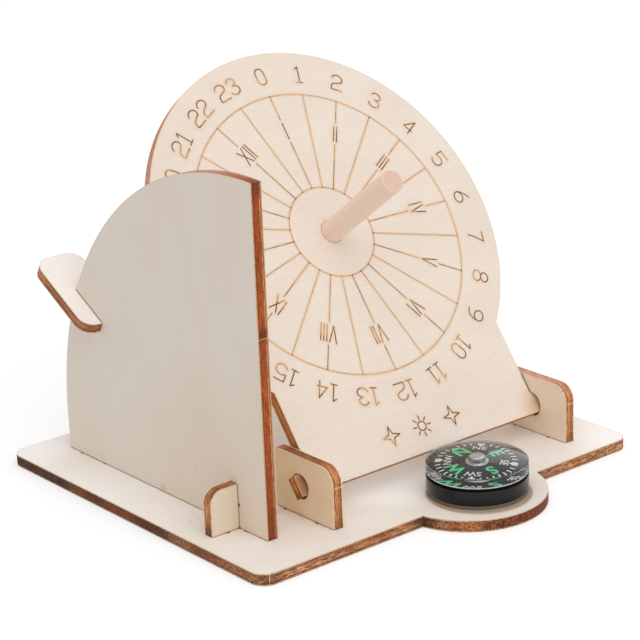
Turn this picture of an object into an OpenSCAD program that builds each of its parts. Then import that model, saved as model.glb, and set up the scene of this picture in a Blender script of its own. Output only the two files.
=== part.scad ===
// Plywood sundial kit. The round dial tilts on two tabs between a pair of hinge brackets, beside
// a quarter-round latitude plate that carries a sliding clip. A dowel stands square in the dial
// as its gnomon, and a small liquid compass sits on the round tongue in front.

/* [Plywood] */
// Thickness of the plywood sheet
ply = 3; // [2.5:0.1:3.5]
// Gap on each side of a tab in its slot
slot_gap = 0.05; // [0.02:0.01:0.15]

/* [Base] */
// Width of the base
base_w = 120; // [112:1:150]
// Depth of the base without its tongue
base_d = 105; // [102:1:130]
// Radius of the base's corners
base_r = 4; // [1:1:10]
// Radius of the round tongue under the compass
tongue_r = 19.4; // [17:0.2:24]
// How far the tongue stands out from the front edge
tongue_reach = 15; // [10:0.5:17]
// How far the tongue's centre lies left of the dial's centre line
tongue_shift = 0.5; // [0:0.1:2]

/* [Hinge] */
// Distance of the hinge axis behind the front edge
hinge_back = 20.3; // [16:0.1:26]
// Height of the hinge axis above the base's top
hinge_rise = 7.5; // [6:0.1:9]
// Diameter of the round hole in each bracket
hole_d = 6.3; // [5:0.1:8]
// Radial gap between a turning tab's corners and its hole
hinge_gap = 0.06; // [0.02:0.01:0.1]
// Gap between the dial's stem and each bracket
side_gap = 0.3; // [0.2:0.1:0.8]
// How far a turning tab shows beyond its bracket
tab_proud = 1.4; // [0.5:0.1:3]

/* [Brackets] */
// Height of a bracket above the base's top
bracket_h = 15; // [13:0.5:18]
// Distance of a bracket's front edge in front of the hinge axis
bracket_front = 12.1; // [9:0.1:13]
// Distance of a bracket's back edge behind the hinge axis
bracket_back = 8.9; // [8:0.1:14]
// Radius of a bracket's upper front corner
bracket_r = 4; // [1:0.5:5]
// Width of the tab that holds a bracket in the base
bracket_tab = 12; // [8:1:14]

/* [Dial] */
// Radius of the dial's disc
dial_r = 50.7; // [44:0.1:56]
// Distance of the disc's centre from the hinge axis
dial_rise = 58; // [54:0.5:64]
// Width of the straight stem between the brackets
stem_w = 73.4; // [60:0.2:80]
// Angle of the dial from level, as it stands
tilt = 53.5; // [45:0.5:85]

/* [Gnomon] */
// Diameter of the dowel
dowel_d = 6; // [4:0.5:8]
// Radial gap between the dowel and its hole
dowel_gap = 0.05; // [0.02:0.01:0.1]
// Length of the dowel in front of the dial
dowel_front = 29.8; // [20:0.2:40]
// Length of the dowel behind the dial
dowel_back = 27.2; // [10:0.2:32]
// Width of the broken edge at the dowel's ends
dowel_edge = 0.3; // [0.1:0.1:0.8]

/* [Latitude plate] */
// Radius of the plate's rim
rim_r = 76.2; // [70:0.2:80]
// Height of the rim's centre above the hinge axis
rim_rise = 2.5; // [0:0.1:6]
// Distance of the plate's front edge in front of the hinge axis
plate_front = 6.1; // [3:0.1:9]
// Distance of the plate's outer face from the base's left edge
plate_inset = 13; // [11:0.5:18]
// Gap between the plate and the dial's disc
dial_gap = 1.3; // [0.5:0.1:3]
// Width of each tab that holds the plate in the base
plate_tab = 10; // [6:1:12]
// Distance of the front tab's centre behind the hinge axis
front_tab = 6.1; // [3:0.1:10]
// Distance between the centres of the two tabs
tab_pitch = 59.5; // [40:0.5:64]

/* [Side foot] */
// Width of the foot across the plate
foot_w = 19; // [13:0.5:22]
// Height of the foot above the base's top
foot_h = 11.2; // [7:0.2:15]
// Radius of the foot's upper corners
foot_r = 3.5; // [1:0.5:5]
// Least gap between the foot's inner end and the left bracket
foot_gap = 2; // [1:0.5:3]

/* [Clip] */
// Length of the clip
clip_len = 25; // [20:0.5:32]
// Width of the clip
clip_w = 13; // [10:0.5:16]
// Depth of the clip's slot
clip_slot = 12.6; // [8:0.2:15]
// Radius of the clip's corners
clip_r = 4; // [1:0.5:4.5]
// Gap on each side of the latitude plate in the slot
clip_gap = 0.1; // [0.05:0.05:0.2]
// Angle of the clip from level
clip_pitch = 30; // [22:0.5:31]
// Distance of the clip's middle layer below the line to the rim's centre
clip_drop = 5.3; // [0:0.1:7]

/* [Compass] */
// Diameter of the compass
compass_d = 25; // [18:0.5:28]
// Distance of the compass's centre behind the front edge
compass_back = 2.1; // [0:0.1:4]
// How far the compass's centre lies right of the dial's centre line
compass_shift = 0.4; // [0:0.1:1.5]
// Thickness of the clear pad under the case
pad_h = 0.9; // [0.5:0.1:1.5]
// Height of the black case
case_h = 4.6; // [3.8:0.1:6]
// Height of the case's lip, which stands in by a sixth of the wall
lip_h = 0.9; // [0.6:0.1:1.4]
// Height of the clear lid at its middle
lid_h = 4.5; // [3.9:0.1:5.4]
// Height of the dome on top of the lid
dome_h = 1.9; // [0.8:0.1:2.2]
// Wall of the case and the lid
shell = 1; // [0.7:0.1:1.4]
// Thickness of the lid's window
window = 0.8; // [0.5:0.1:1]
// Gap round and above the turning card
card_gap = 0.5; // [0.3:0.1:0.8]
// Thickness of the printed card
card_t = 0.4; // [0.2:0.1:0.6]
// Length of the bar magnet under the card
magnet_l = 15; // [8:0.5:18]
// Width of the bar magnet
magnet_w = 5; // [4.4:0.1:7]
// Thickness of the bar magnet
magnet_t = 1; // [0.6:0.1:1.4]
// Diameter of the pivot cap's flange
cap_d = 5.2; // [4.6:0.1:7]
// Diameter of the pivot cap's knob
knob_d = 4.1; // [3:0.1:4.4]
// Height of the knob above the card
knob_h = 3.4; // [2.4:0.1:3.8]
// Diameter of the pivot pin
pin_d = 0.9; // [0.6:0.1:1.2]

/* [Hidden] */
$fn = 96;
// Overshoot of a cutter past the face that it opens
over = 1;
// The origin is the middle of the footprint, tongue included, on the underside
front_y = (tongue_reach - base_d) / 2;
tongue_y = front_y - tongue_reach + tongue_r;
// Hinge axis, which runs along X
hinge_y = front_y + hinge_back;
hinge_z = ply + hinge_rise;
// Height of a turning tab, whose corners just clear the hole
tab_h = 2 * sqrt(pow(hole_d / 2 - hinge_gap, 2) - pow(ply / 2, 2));
// Outer face and middle layer of the latitude plate
plate_x = plate_inset - base_w / 2;
plate_mid = plate_x + ply / 2;
// Half of the space between the brackets
bracket_x = stem_w / 2 + side_gap;
// Centre line of the dial, clear of the plate, with the left bracket clear of the foot
dial_x = plate_x + ply + max(dial_gap + dial_r, (foot_w - ply) / 2 + foot_gap + ply + bracket_x);
// Centre of the latitude plate's rim
rim_z = hinge_z + rim_rise;
// Centre of the front tab and the foot, which cross in one slot
cross_y = hinge_y + front_tab;
// Half the full height of the foot, where the lapped slots meet
lap_z = (ply + foot_h) / 2;
slot_w = ply + 2 * slot_gap;
// Bottom of the clip's slot, just clear of the rim
clip_seat = rim_r + clip_gap;
// Compass levels, from the base's top upward
case_z = ply + pad_h;
lid_z = case_z + case_h;
lid_top = lid_z + lid_h;
case_bore = compass_d / 2 - shell;
// Radius of the ball that the lid's dome is cut from
dome_r = (pow(compass_d / 2, 2) + pow(dome_h, 2)) / (2 * dome_h);
// Half of the wall is the pivot's foot, which the magnet clears
card_top = case_z + shell + shell / 2 + card_gap + magnet_t + card_t;
card_r = case_bore - card_gap;
cap_top = min(card_top + knob_h, lid_top - window - card_gap);
flange_h = 0.35;
stem_r = knob_d / 2 - 0.25;
// Depth of the cap's conical seat above its neck's bore, and the point's gap to it
seat_h = 0.7;
point_gap = 0.05;
seat_top = cap_top - 0.4;
magnet_z = card_top - card_t - magnet_t;

// Stands an outline drawn in (Y, Z) upright, one sheet thick along +X
module upright() rotate([90, 0, 90]) linear_extrude(ply) children();

// Moves to the hinge axis, with Y up the dial and Z out of its face
module on_dial() translate([dial_x, hinge_y, hinge_z]) rotate([tilt, 0, 0]) children();

// Moves to the rim's centre, with Y out along the clip and Z square to its face
module on_clip() translate([plate_mid, hinge_y, rim_z]) rotate([clip_pitch, 0, 0]) children();

module at_compass() translate([dial_x + compass_shift, front_y + compass_back, 0]) children();

// Rectangle with all four corners round, centred on X, from y0 to y1
module round_bar(w, y0, y1, r) {
    for (side = [-1, 1], y = [y0 + r, y1 - r]) translate([side * (w / 2 - r), y]) circle(r);
    translate([-w / 2, y0 + r]) square([w, y1 - y0 - 2 * r]);
    translate([r - w / 2, y0]) square([w - 2 * r, y1 - y0]);
}

// Slot through the base for a tab of the given size, centred on x and y
module base_slot(x, y, w, d) translate([x - w / 2 - slot_gap, y - d / 2 - slot_gap])
    square([w + 2 * slot_gap, d + 2 * slot_gap]);

module base_plate() color("wheat") linear_extrude(ply) difference() {
    union() {
        round_bar(base_w, front_y, front_y + base_d, base_r);
        translate([dial_x - tongue_shift, tongue_y]) circle(tongue_r);
    }
    base_slot(plate_mid, cross_y, ply, plate_tab);
    base_slot(plate_mid, cross_y, plate_tab, ply);
    base_slot(plate_mid, cross_y + tab_pitch, ply, plate_tab);
    for (side = [-1, 1]) base_slot(dial_x + side * (bracket_x + ply / 2), hinge_y, ply, bracket_tab);
}

// Quarter round with a straight foot, two tabs, and a slot up from below for the side foot
module latitude_plate() color("tan") translate([plate_x, 0, 0]) upright() difference() {
    union() {
        intersection() {
            translate([hinge_y, rim_z]) circle(rim_r, $fn = 180);
            translate([hinge_y - plate_front, rim_z]) square([plate_front + rim_r, rim_r]);
        }
        translate([hinge_y - plate_front, ply]) square([plate_front + rim_r, rim_z - ply]);
        for (y = [cross_y, cross_y + tab_pitch]) translate([y - plate_tab / 2, 0])
            square([plate_tab, ply + over]);
    }
    translate([cross_y - slot_w / 2, -over]) square([slot_w, lap_z + over]);
}

// Crosses the latitude plate at its front tab: solid below the lap, slotted above it
module side_foot() color("wheat") translate([plate_mid, cross_y + ply / 2, 0])
rotate([90, 0, 0]) linear_extrude(ply) difference() {
    union() {
        intersection() {
            round_bar(foot_w, ply - 2 * foot_r, ply + foot_h, foot_r);
            translate([-foot_w / 2, ply]) square([foot_w, foot_h]);
        }
        translate([-plate_tab / 2, 0]) square([plate_tab, ply + over]);
    }
    translate([-slot_w / 2, lap_z]) square([slot_w, foot_h + over]);
}

module hinge_bracket(side) color("wheat")
translate([dial_x + side * (bracket_x + ply / 2) - ply / 2, 0, 0]) upright() difference() {
    union() {
        translate([hinge_y - bracket_front, ply]) square([bracket_front + bracket_back, bracket_h - bracket_r]);
        translate([hinge_y - bracket_front + bracket_r, ply])
            square([bracket_front + bracket_back - bracket_r, bracket_h]);
        translate([hinge_y - bracket_front + bracket_r, ply + bracket_h - bracket_r]) circle(bracket_r);
        translate([hinge_y - bracket_tab / 2, 0]) square([bracket_tab, ply + over]);
    }
    translate([hinge_y, hinge_z]) circle(d = hole_d);
}

module hinge_bracket_left() hinge_bracket(-1);

module hinge_bracket_right() hinge_bracket(1);

// Disc on a straight stem, with a turning tab at each end of the stem's lower edge
module dial_plate() color("wheat") on_dial() translate([0, 0, -ply / 2]) linear_extrude(ply) difference() {
    union() {
        translate([0, dial_rise]) circle(dial_r, $fn = 180);
        translate([-stem_w / 2, -tab_h / 2]) square([stem_w, dial_rise + tab_h / 2]);
        translate([-bracket_x - ply - tab_proud, -tab_h / 2])
            square([2 * (bracket_x + ply + tab_proud), tab_h]);
    }
    translate([0, dial_rise]) circle(d = dowel_d + 2 * dowel_gap);
}

// Dowel through the dial's centre, with both ends' edges broken
module gnomon() color("burlywood") on_dial() translate([0, dial_rise, -ply / 2 - dowel_back])
rotate_extrude() polygon([
    [0, 0],
    [dowel_d / 2 - dowel_edge, 0],
    [dowel_d / 2, dowel_edge],
    [dowel_d / 2, dowel_back + ply + dowel_front - dowel_edge],
    [dowel_d / 2 - dowel_edge, dowel_back + ply + dowel_front],
    [0, dowel_back + ply + dowel_front]
]);

// Rounded plate, slotted from its inner end so that it straddles the latitude plate's rim
module latitude_clip() color("wheat") on_clip() translate([0, 0, -clip_drop - ply / 2])
linear_extrude(ply) difference() {
    round_bar(clip_w, clip_seat - clip_slot, clip_seat - clip_slot + clip_len, clip_r);
    translate([-ply / 2 - clip_gap, clip_seat - clip_slot - over])
        square([ply + 2 * clip_gap, clip_slot + over]);
}

module compass_pad() color("lightgray") at_compass() translate([0, 0, ply])
    cylinder(d = compass_d - shell / 2, h = pad_h);

// Black cup with a broken lower edge and a lip that carries the lid
module compass_case() color("black") at_compass() translate([0, 0, case_z]) rotate_extrude() polygon([
    [0, 0],
    [compass_d / 2 - shell / 3, 0],
    [compass_d / 2, shell / 3],
    [compass_d / 2, case_h - lip_h],
    [compass_d / 2 - shell / 6, case_h - lip_h],
    [compass_d / 2 - shell / 6, case_h],
    [case_bore, case_h],
    [case_bore, shell],
    [0, shell]
]);

// Clear domed cap that stands on the case's lip
module compass_lid() color("lightcyan") at_compass() translate([0, 0, lid_z]) rotate_extrude() difference() {
    intersection() {
        square([compass_d / 2, lid_h]);
        translate([0, lid_h - dome_r]) circle(dome_r);
    }
    intersection() {
        translate([0, -over]) square([case_bore, lid_h + over]);
        translate([0, lid_h - dome_r]) circle(dome_r - window);
    }
}

// Steel point on a round foot, standing on the case's floor
module compass_pivot() color("silver") at_compass() translate([0, 0, case_z + shell])
rotate_extrude() polygon([
    [0, 0],
    [knob_d / 2, 0],
    [knob_d / 2, shell / 2],
    [pin_d / 2, shell / 2],
    [pin_d / 2, seat_top - point_gap - case_z - shell - seat_h],
    [0, seat_top - point_gap - case_z - shell]
]);

module compass_card() color("dimgray") at_compass() translate([0, 0, card_top - card_t]) difference() {
    cylinder(r = card_r, h = card_t);
    translate([0, 0, -over]) cylinder(r = stem_r, h = card_t + 2 * over);
}

module compass_magnet() color("slategray") at_compass() translate([0, 0, magnet_z]) difference() {
    translate([-magnet_w / 2, -magnet_l / 2, 0]) cube([magnet_w, magnet_l, magnet_t]);
    translate([0, 0, -over]) cylinder(r = stem_r, h = magnet_t + 2 * over);
}

// Knob and flange on the card, a neck through card and magnet, and a conical seat for the point
module compass_cap() color("gainsboro") at_compass() rotate_extrude() polygon([
    [pin_d / 2 + card_gap, magnet_z],
    [stem_r, magnet_z],
    [stem_r, card_top],
    [cap_d / 2, card_top],
    [cap_d / 2, card_top + flange_h],
    [knob_d / 2, card_top + flange_h],
    [knob_d / 2, cap_top],
    [0, cap_top],
    [0, seat_top],
    [pin_d / 2 + card_gap, seat_top - seat_h]
]);

base_plate();
latitude_plate();
side_foot();
hinge_bracket_left();
hinge_bracket_right();
dial_plate();
gnomon();
latitude_clip();
compass_pad();
compass_case();
compass_lid();
compass_pivot();
compass_card();
compass_magnet();
compass_cap();
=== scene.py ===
import bpy
import math
import numpy as np
from mathutils import Matrix, Vector


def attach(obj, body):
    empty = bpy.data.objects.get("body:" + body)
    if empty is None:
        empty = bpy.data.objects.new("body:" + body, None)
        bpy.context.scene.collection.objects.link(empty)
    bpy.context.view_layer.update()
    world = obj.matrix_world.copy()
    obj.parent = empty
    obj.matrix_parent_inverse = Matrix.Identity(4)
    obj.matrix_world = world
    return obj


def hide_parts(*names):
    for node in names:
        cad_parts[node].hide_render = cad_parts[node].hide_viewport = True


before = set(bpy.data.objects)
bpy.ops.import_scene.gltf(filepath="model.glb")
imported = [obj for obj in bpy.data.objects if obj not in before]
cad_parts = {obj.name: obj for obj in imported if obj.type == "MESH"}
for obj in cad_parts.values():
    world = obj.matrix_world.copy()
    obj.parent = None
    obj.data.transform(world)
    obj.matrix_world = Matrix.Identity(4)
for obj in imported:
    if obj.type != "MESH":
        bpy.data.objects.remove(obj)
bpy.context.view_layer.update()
scene = bpy.context.scene
mm = 0.001

# Where things are on the sundial, in mm
plyHalf = 1.5
hinge = Vector((8.0, -24.7, 10.5))
tilt = math.radians(53.5)
dialRise = 58
dialUp = Vector((0, math.cos(tilt), math.sin(tilt)))
dialOut = Vector((0, -math.sin(tilt), math.cos(tilt)))
dialCentre = hinge + dialUp * dialRise
plateMid, footMid = -45.5, -18.6
leftBracketMid, rightBracketMid = -30.5, 46.5
clip = {"turnsAbout": (-24.7, 13), "drop": 5.3, "pitch": math.radians(30)}
compassCentre = Vector((8.4, -42.9, 0))
outOfReach = 100


def rgb(r, g, b):  # a colour as seen on screen, 0 to 255, turned into light values
    return tuple(((c / 255 + 0.055) / 1.055) ** 2.4 if c > 10 else c / 3294.6 for c in (r, g, b)) + (1,)


# Shader wiring: what varies over the surface is wired in, and what doesn't is set on the socket itself
def feed(node, values):
    for key, value in values.items():
        if isinstance(value, bpy.types.NodeSocket):
            node.id_data.links.new(value, node.inputs[key])
        else:
            node.inputs[key].default_value = value


def put(tree, kind, inputs=None, **settings):
    node = tree.nodes.new(kind)
    for key, value in settings.items():
        setattr(node, key, value)
    feed(node, inputs or {})
    return node


def calc(tree, operation, *values, clamp=False):
    node = put(tree, "ShaderNodeMath", dict(enumerate(values)), operation=operation, use_clamp=clamp)
    return node.outputs[0]


def times(tree, a, b, clamp=False):
    return calc(tree, "MULTIPLY", a, b, clamp=clamp)


def minus(tree, a, b):
    return calc(tree, "SUBTRACT", a, b)


def fade(tree, value, start, end, low=0.0, high=1.0):  # a smooth step from low to high
    node = put(tree, "ShaderNodeMapRange", {0: value, 1: start, 2: end, 3: low, 4: high},
               interpolation_type="SMOOTHSTEP")
    return node.outputs[0]


def tint(tree, amount, under, over, mode="MIX"):
    node = put(tree, "ShaderNodeMix", {0: amount, 6: under, 7: over}, data_type="RGBA", blend_type=mode)
    return node.outputs[2]


def noise(tree, vector, stretch=(1, 1, 1), detail=3.0, roughness=0.55, shift=(0, 0, 0), scale=1.0):
    stretched = put(tree, "ShaderNodeMapping", {0: vector, 1: shift, 3: stretch}).outputs[0]
    return put(tree, "ShaderNodeTexNoise", {"Vector": stretched, "Scale": scale, "Detail": detail,
                                            "Roughness": roughness}).outputs[0]


def bumped(tree, height, strength, distance):
    node = put(tree, "ShaderNodeBump", {"Strength": strength, "Distance": distance, "Height": height})
    return node.outputs[0]


def apart(tree, a, b):  # how far one number is from another
    return calc(tree, "ABSOLUTE", minus(tree, a, b))


def swing(tree, value, size, middle):  # a middle that noise moves up and down
    return calc(tree, "MULTIPLY_ADD", minus(tree, value, 0.5), size, middle)


def measure(tree, *parts):  # the length of a vector given by its parts
    total = calc(tree, "POWER", parts[0], 2)
    for part in parts[1:]:
        total = calc(tree, "ADD", total, calc(tree, "POWER", part, 2))
    return calc(tree, "POWER", total, 0.5)


def distanceTo(tree, along, across, placeAlong, placeAcross):  # on a sheet, in mm
    away = minus(tree, along, placeAlong)
    return measure(tree, away, minus(tree, across, placeAcross))


def startMaterial(name):
    material = bpy.data.materials.new(name)
    material.use_nodes = True
    tree = material.node_tree
    tree.nodes.clear()
    shader = tree.nodes.new("ShaderNodeBsdfPrincipled")
    out = tree.nodes.new("ShaderNodeOutputMaterial")
    tree.links.new(shader.outputs[0], out.inputs[0])
    return material, tree, shader


def objectPoint(tree):
    return put(tree, "ShaderNodeTexCoord").outputs["Object"]


# The point in a sheet's own mm: along its grain, across it, and through its thickness
def sheetPoint(tree, origin, along, out):
    along, out = Vector(along).normalized(), Vector(out).normalized()
    turn = Matrix((along, out.cross(along), out))
    settings = {0: objectPoint(tree), 1: -(turn @ Vector(origin)), 2: turn.to_euler(), 3: (1 / mm,) * 3}
    return put(tree, "ShaderNodeMapping", settings).outputs[0]


def dress(node, material):
    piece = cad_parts[node]
    piece.data.materials.clear()
    piece.data.materials.append(material)


# Plywood, cut and engraved by laser
# A ply is (its middle, half its height, how strong, paint), with heights in mm from the sheet's middle
plywoodLook = {
    "face": rgb(235, 221, 208),
    "faceDeep": rgb(227, 207, 190),
    "faceTurn": 0,
    "fibre": rgb(204, 176, 152),
    "clouds": 0.3,
    "dashes": 0.3,
    "rim": rgb(150, 104, 76),
    "smoke": rgb(222, 188, 150),
    # Dark brown of the joints, also laid on as painted shade in the creases
    "creaseJointAndShade": rgb(88, 48, 28),
    "edge": rgb(196, 126, 78),
    "scorch": rgb(114, 50, 26),
    "edgeDark": rgb(84, 38, 20),
    "edgeLight": rgb(228, 168, 110),
    "edgePale": rgb(240, 212, 172),
    "char": rgb(44, 20, 22),
    "gold": rgb(226, 152, 78),
    # Pinkish paint for a painted sheen of the white sky on some cut edges
    "paintedRoseSheen": rgb(208, 152, 134),
    # Tan brown used for painted shade and shadow on the faces
    "darkPatch": rgb(186, 140, 104),
    # Paler paint for painted light, where a face is to look more brightly lit
    "paintedPaleLight": rgb(255, 251, 247),
    # Warm pale paint for painted bounce light
    "paintedBounceGlow": rgb(255, 238, 203),
    "plies": ((0.62, 0.16, 0.5, "edgeDark"), (-0.5, 0.2, 0.45, "edgeLight"),
              (-0.85, 0.16, 0.5, "edgeDark")),
    "patches": 0.6,
    "streaks": 0.6,
    "streakGrain": (0.12, 0.12, 2.0),
    "dashGrain": (0.4, 0.4, 2.8),
    "specks": 0.4,
    "grit": 0.4,
    "mottle": 0.6,
    "border": 0.85,
    "edgeGloss": 0.2,
    "line": rgb(110, 70, 50),
    "lineLight": rgb(212, 160, 112),
    "halo": rgb(248, 224, 188),
}

# A noise's stretch is its spots per mm along the grain, across it and through the sheet
# A fade is (start, end), with (low, high) after them unless these are 0 and 1 or in the sheet's own look
veneer = {
    "cloud": {"stretch": (0.03, 0.08, 0.08), "detail": 2.0},
    "fibres": {"stretch": (0.14, 2.4, 2.4), "detail": 4.0, "roughness": 0.6},
    "dashes": {"stretch": (0.6, 5.6, 5.6), "detail": 2.0, "roughness": 0.5, "shift": (7.3, 1.9, 0)},
    "cloudFade": (0.35, 0.7),
    "fibreFade": (0.45, 0.8),
    "dashFade": (0.56, 0.76),
    "fibreShare": 0.55,
    "fibreHeight": -0.4,
    "dashHeight": -0.5,
}


# Bare veneer: faint clouds, long fibres and short darker dashes along the grain
def facePaint(tree, point, look):
    part = veneer
    cloud, fibres, dashes = [noise(tree, point, **part[name]) for name in ("cloud", "fibres", "dashes")]
    clouds = fade(tree, cloud, *part["cloudFade"], 0, look["clouds"])
    colour = tint(tree, clouds, look["face"], look["faceDeep"])
    longMarks = fade(tree, fibres, *part["fibreFade"], 0, part["fibreShare"] * look["dashes"])
    shortMarks = fade(tree, dashes, *part["dashFade"], 0, look["dashes"])
    colour = tint(tree, shortMarks, tint(tree, longMarks, colour, look["fibre"]), look["fibre"])
    height = times(tree, fibres, part["fibreHeight"])
    return colour, calc(tree, "MULTIPLY_ADD", dashes, part["dashHeight"], height)


burntLine = {
    "patches": {"stretch": (0.2, 0.2, 0.2), "detail": 2.0},
    "grain": {"stretch": (2.6, 2.6, 2.6), "detail": 2.0},
    "patchDark": (0.36, 0.62, 0.3, 1.25),
    "grainDark": (0.25, 0.75, 0.7, 1.2),
    "halo": (0.85, 0.08),
    "patchHalo": (0.3, 0.65, 0.8, 0.4),
    "core": (0.22, 0.05),
    "darkCore": (0, 0.7, 0.6, 1.0),
    "groove": -2.5,
}


# A burnt line on bare veneer: a dark core and a warm halo, by the distance to its middle in mm
def burnLine(tree, point, colour, height, distance, depth, look, coreFade=burntLine["core"]):
    part = burntLine
    patches = noise(tree, point, **part["patches"])
    grain = noise(tree, point, **part["grain"])
    dark = times(tree, depth, fade(tree, patches, *part["patchDark"]))
    dark = times(tree, dark, fade(tree, grain, *part["grainDark"]), clamp=True)
    halo = times(tree, fade(tree, distance, *part["halo"]), fade(tree, patches, *part["patchHalo"]))
    core = fade(tree, distance, *coreFade)
    line = tint(tree, dark, look["lineLight"], look["line"])
    colour = tint(tree, halo, colour, tint(tree, 1.0, colour, look["halo"], "MULTIPLY"))
    colour = tint(tree, times(tree, core, fade(tree, dark, *part["darkCore"])), colour, line)
    return colour, calc(tree, "MULTIPLY_ADD", core, part["groove"], height)


burntEdge = {
    "tone": {"stretch": (0.09, 0.09, 0.2), "detail": 2.0, "roughness": 0.5, "shift": (4.0, 2.0, 1.0)},
    "streaks": {"roughness": 0.65},
    "dashes": {"roughness": 0.65, "shift": (2.0, 5.0, 3.0)},
    "specks": {"stretch": (2.1, 2.1, 2.1), "roughness": 0.7, "shift": (1.0, 6.0, 2.0)},
    "grit": {"stretch": (3.6, 3.6, 3.6), "detail": 1.0, "roughness": 0.5, "shift": (3.0, 1.0, 8.0)},
    "wobble": {"stretch": (0.4, 0.4, 0.0), "roughness": 0.6},
    "plyWobble": 0.5,
    "plyCore": 0.3,
    "rimWobble": 0.35,
    "patchFade": (0.36, 0.64),
    "streakFade": (0.48, 0.64),
    "dashFade": (0.5, 0.64),
    "dashMottle": (0.36, 0.64, 1.5, 0.5),
    "speckMottle": (0.38, 0.62, 1.2, 0.75),
    "speckFade": (0.52, 0.68),
    "gritPatches": (0.42, 0.58, 0.4, 1.0),
    "paleGrit": (0.47, 0.34),
    "darkGrit": (0.5, 0.62),
    "seamPlace": 1.08,
    "seamFade": (0.16, 0.05, 0, 0.5),
    "rimFade": (1.12, 1.3),
    "rimGrit": (0.5, 0.62, 0, 0.55),
    "rimGritFade": (1.0, 1.25),
    "bridgeFade": (0.35, 0.6, 0.35, 0.9),
    "dashHeight": -0.8,
    "speckHeight": -1.0,
}


# Burnt edge: patches, streaks along the plies, charred places, fine grit and a pale line at each face; some
# places hold a painted pinkish sheen instead
def edgePaint(tree, point, along, across, through, look, places, bridges):
    part = burntEdge
    tone = noise(tree, point, **part["tone"])
    streaks = noise(tree, point, look["streakGrain"], **part["streaks"])
    dashes = noise(tree, point, look["dashGrain"], **part["dashes"])
    specks = noise(tree, point, **part["specks"])
    grit = noise(tree, point, **part["grit"])
    level = swing(tree, noise(tree, point, **part["wobble"]), part["plyWobble"], through)
    depth = swing(tree, specks, part["rimWobble"], calc(tree, "ABSOLUTE", through))

    patches = fade(tree, tone, *part["patchFade"], 0, look["patches"])
    colour = tint(tree, patches, look["edge"], look["scorch"])
    for middle, half, amount, paint in look["plies"]:
        line = fade(tree, apart(tree, level, middle), half, half * part["plyCore"], 0, amount)
        colour = tint(tree, line, colour, look[paint])
    light = fade(tree, streaks, *part["streakFade"], 0, look["streaks"])
    dark = fade(tree, dashes, *part["dashFade"], 0, look["streaks"])
    colour = tint(tree, dark, tint(tree, light, colour, look["edgeLight"]), look["edgeDark"])

    for placeAlong, placeAcross, inner, outer, amount, paint in places:
        far = distanceTo(tree, along, across, placeAlong, placeAcross)
        ragged = swing(tree, dashes, 0.5 * (outer - inner) + 1, far)
        colour = tint(tree, fade(tree, ragged, outer, inner, 0, amount), colour, look[paint])
    mottle = times(tree, fade(tree, dashes, *part["dashMottle"]), fade(tree, specks, *part["speckMottle"]))
    colour = tint(tree, look["mottle"], colour, mottle, "MULTIPLY")
    colour = tint(tree, fade(tree, specks, *part["speckFade"], 0, look["specks"]), colour, look["char"])
    rough = fade(tree, tone, *part["gritPatches"])
    for gritFade, paint in (("paleGrit", "edgeLight"), ("darkGrit", "edgeDark")):
        grains = times(tree, fade(tree, grit, *part[gritFade], 0, look["grit"]), rough)
        colour = tint(tree, grains, colour, look[paint])

    seam = fade(tree, apart(tree, depth, part["seamPlace"]), *part["seamFade"])
    colour = tint(tree, seam, colour, look["edgeDark"])
    colour = tint(tree, fade(tree, depth, *part["rimFade"], 0, look["border"]), colour, look["edgePale"])
    rimGrit = times(tree, fade(tree, grit, *part["rimGrit"]), fade(tree, depth, *part["rimGritFade"]))
    colour = tint(tree, rimGrit, colour, look["edgeDark"])
    for bridgeAlong, bridgeAcross, halfAlong, halfAcross in bridges:
        mark = times(tree, calc(tree, "COMPARE", along, bridgeAlong, halfAlong),
                     calc(tree, "COMPARE", across, bridgeAcross, halfAcross))
        mark = times(tree, mark, fade(tree, streaks, *part["bridgeFade"]))
        colour = tint(tree, mark, colour, look["edgePale"])
    height = times(tree, specks, part["speckHeight"])
    return colour, calc(tree, "MULTIPLY_ADD", dashes, part["dashHeight"], height)


# How far a surface bends away within a given radius, from 0 to 1
def bend(tree, radius):
    plain = put(tree, "ShaderNodeNewGeometry").outputs["Normal"]
    rounded = put(tree, "ShaderNodeBevel", {"Radius": radius}, samples=6).outputs[0]
    same = put(tree, "ShaderNodeVectorMath", {0: plain, 1: rounded}, operation="DOT_PRODUCT")
    return minus(tree, 1, same.outputs["Value"])


# The skin is in mm, and the reaches and the bump's distance are in metres
sheetFinish = {
    "skin": 0.02,
    "dotCore": 0.6,
    "dotDark": 0.9,
    "smokeStreaks": {"stretch": (0.35, 1.6, 1.6), "roughness": 0.6, "shift": (3.1, 8.7, 0)},
    "smokeReach": 0.0011,
    "smokeFade": (0.02, 0.3),
    "smokeAmount": (0.4, 0.7, 0.25, 0.85),
    "rimReach": 0.0002,
    "rimFade": (0.02, 0.22, 0, 0.3),
    "creaseJointAndShadeReach": 0.0007,
    "creaseJointAndShadeFade": (0.76, 0.42, 0, 0.85),
    "edgeRoughness": 0.6,
    "faceRoughness": 0.72,
    "gloss": 0.25,
    "bump": 0.25,
    "bumpDistance": 0.00012,
}


def finishWood(tree, shader, colour, height, roughness, gloss=sheetFinish["gloss"], bump=sheetFinish["bump"]):
    feed(shader, {"Normal": bumped(tree, height, bump, sheetFinish["bumpDistance"]),
                  "Base Color": colour, "Roughness": roughness, "Specular IOR Level": gloss})
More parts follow.
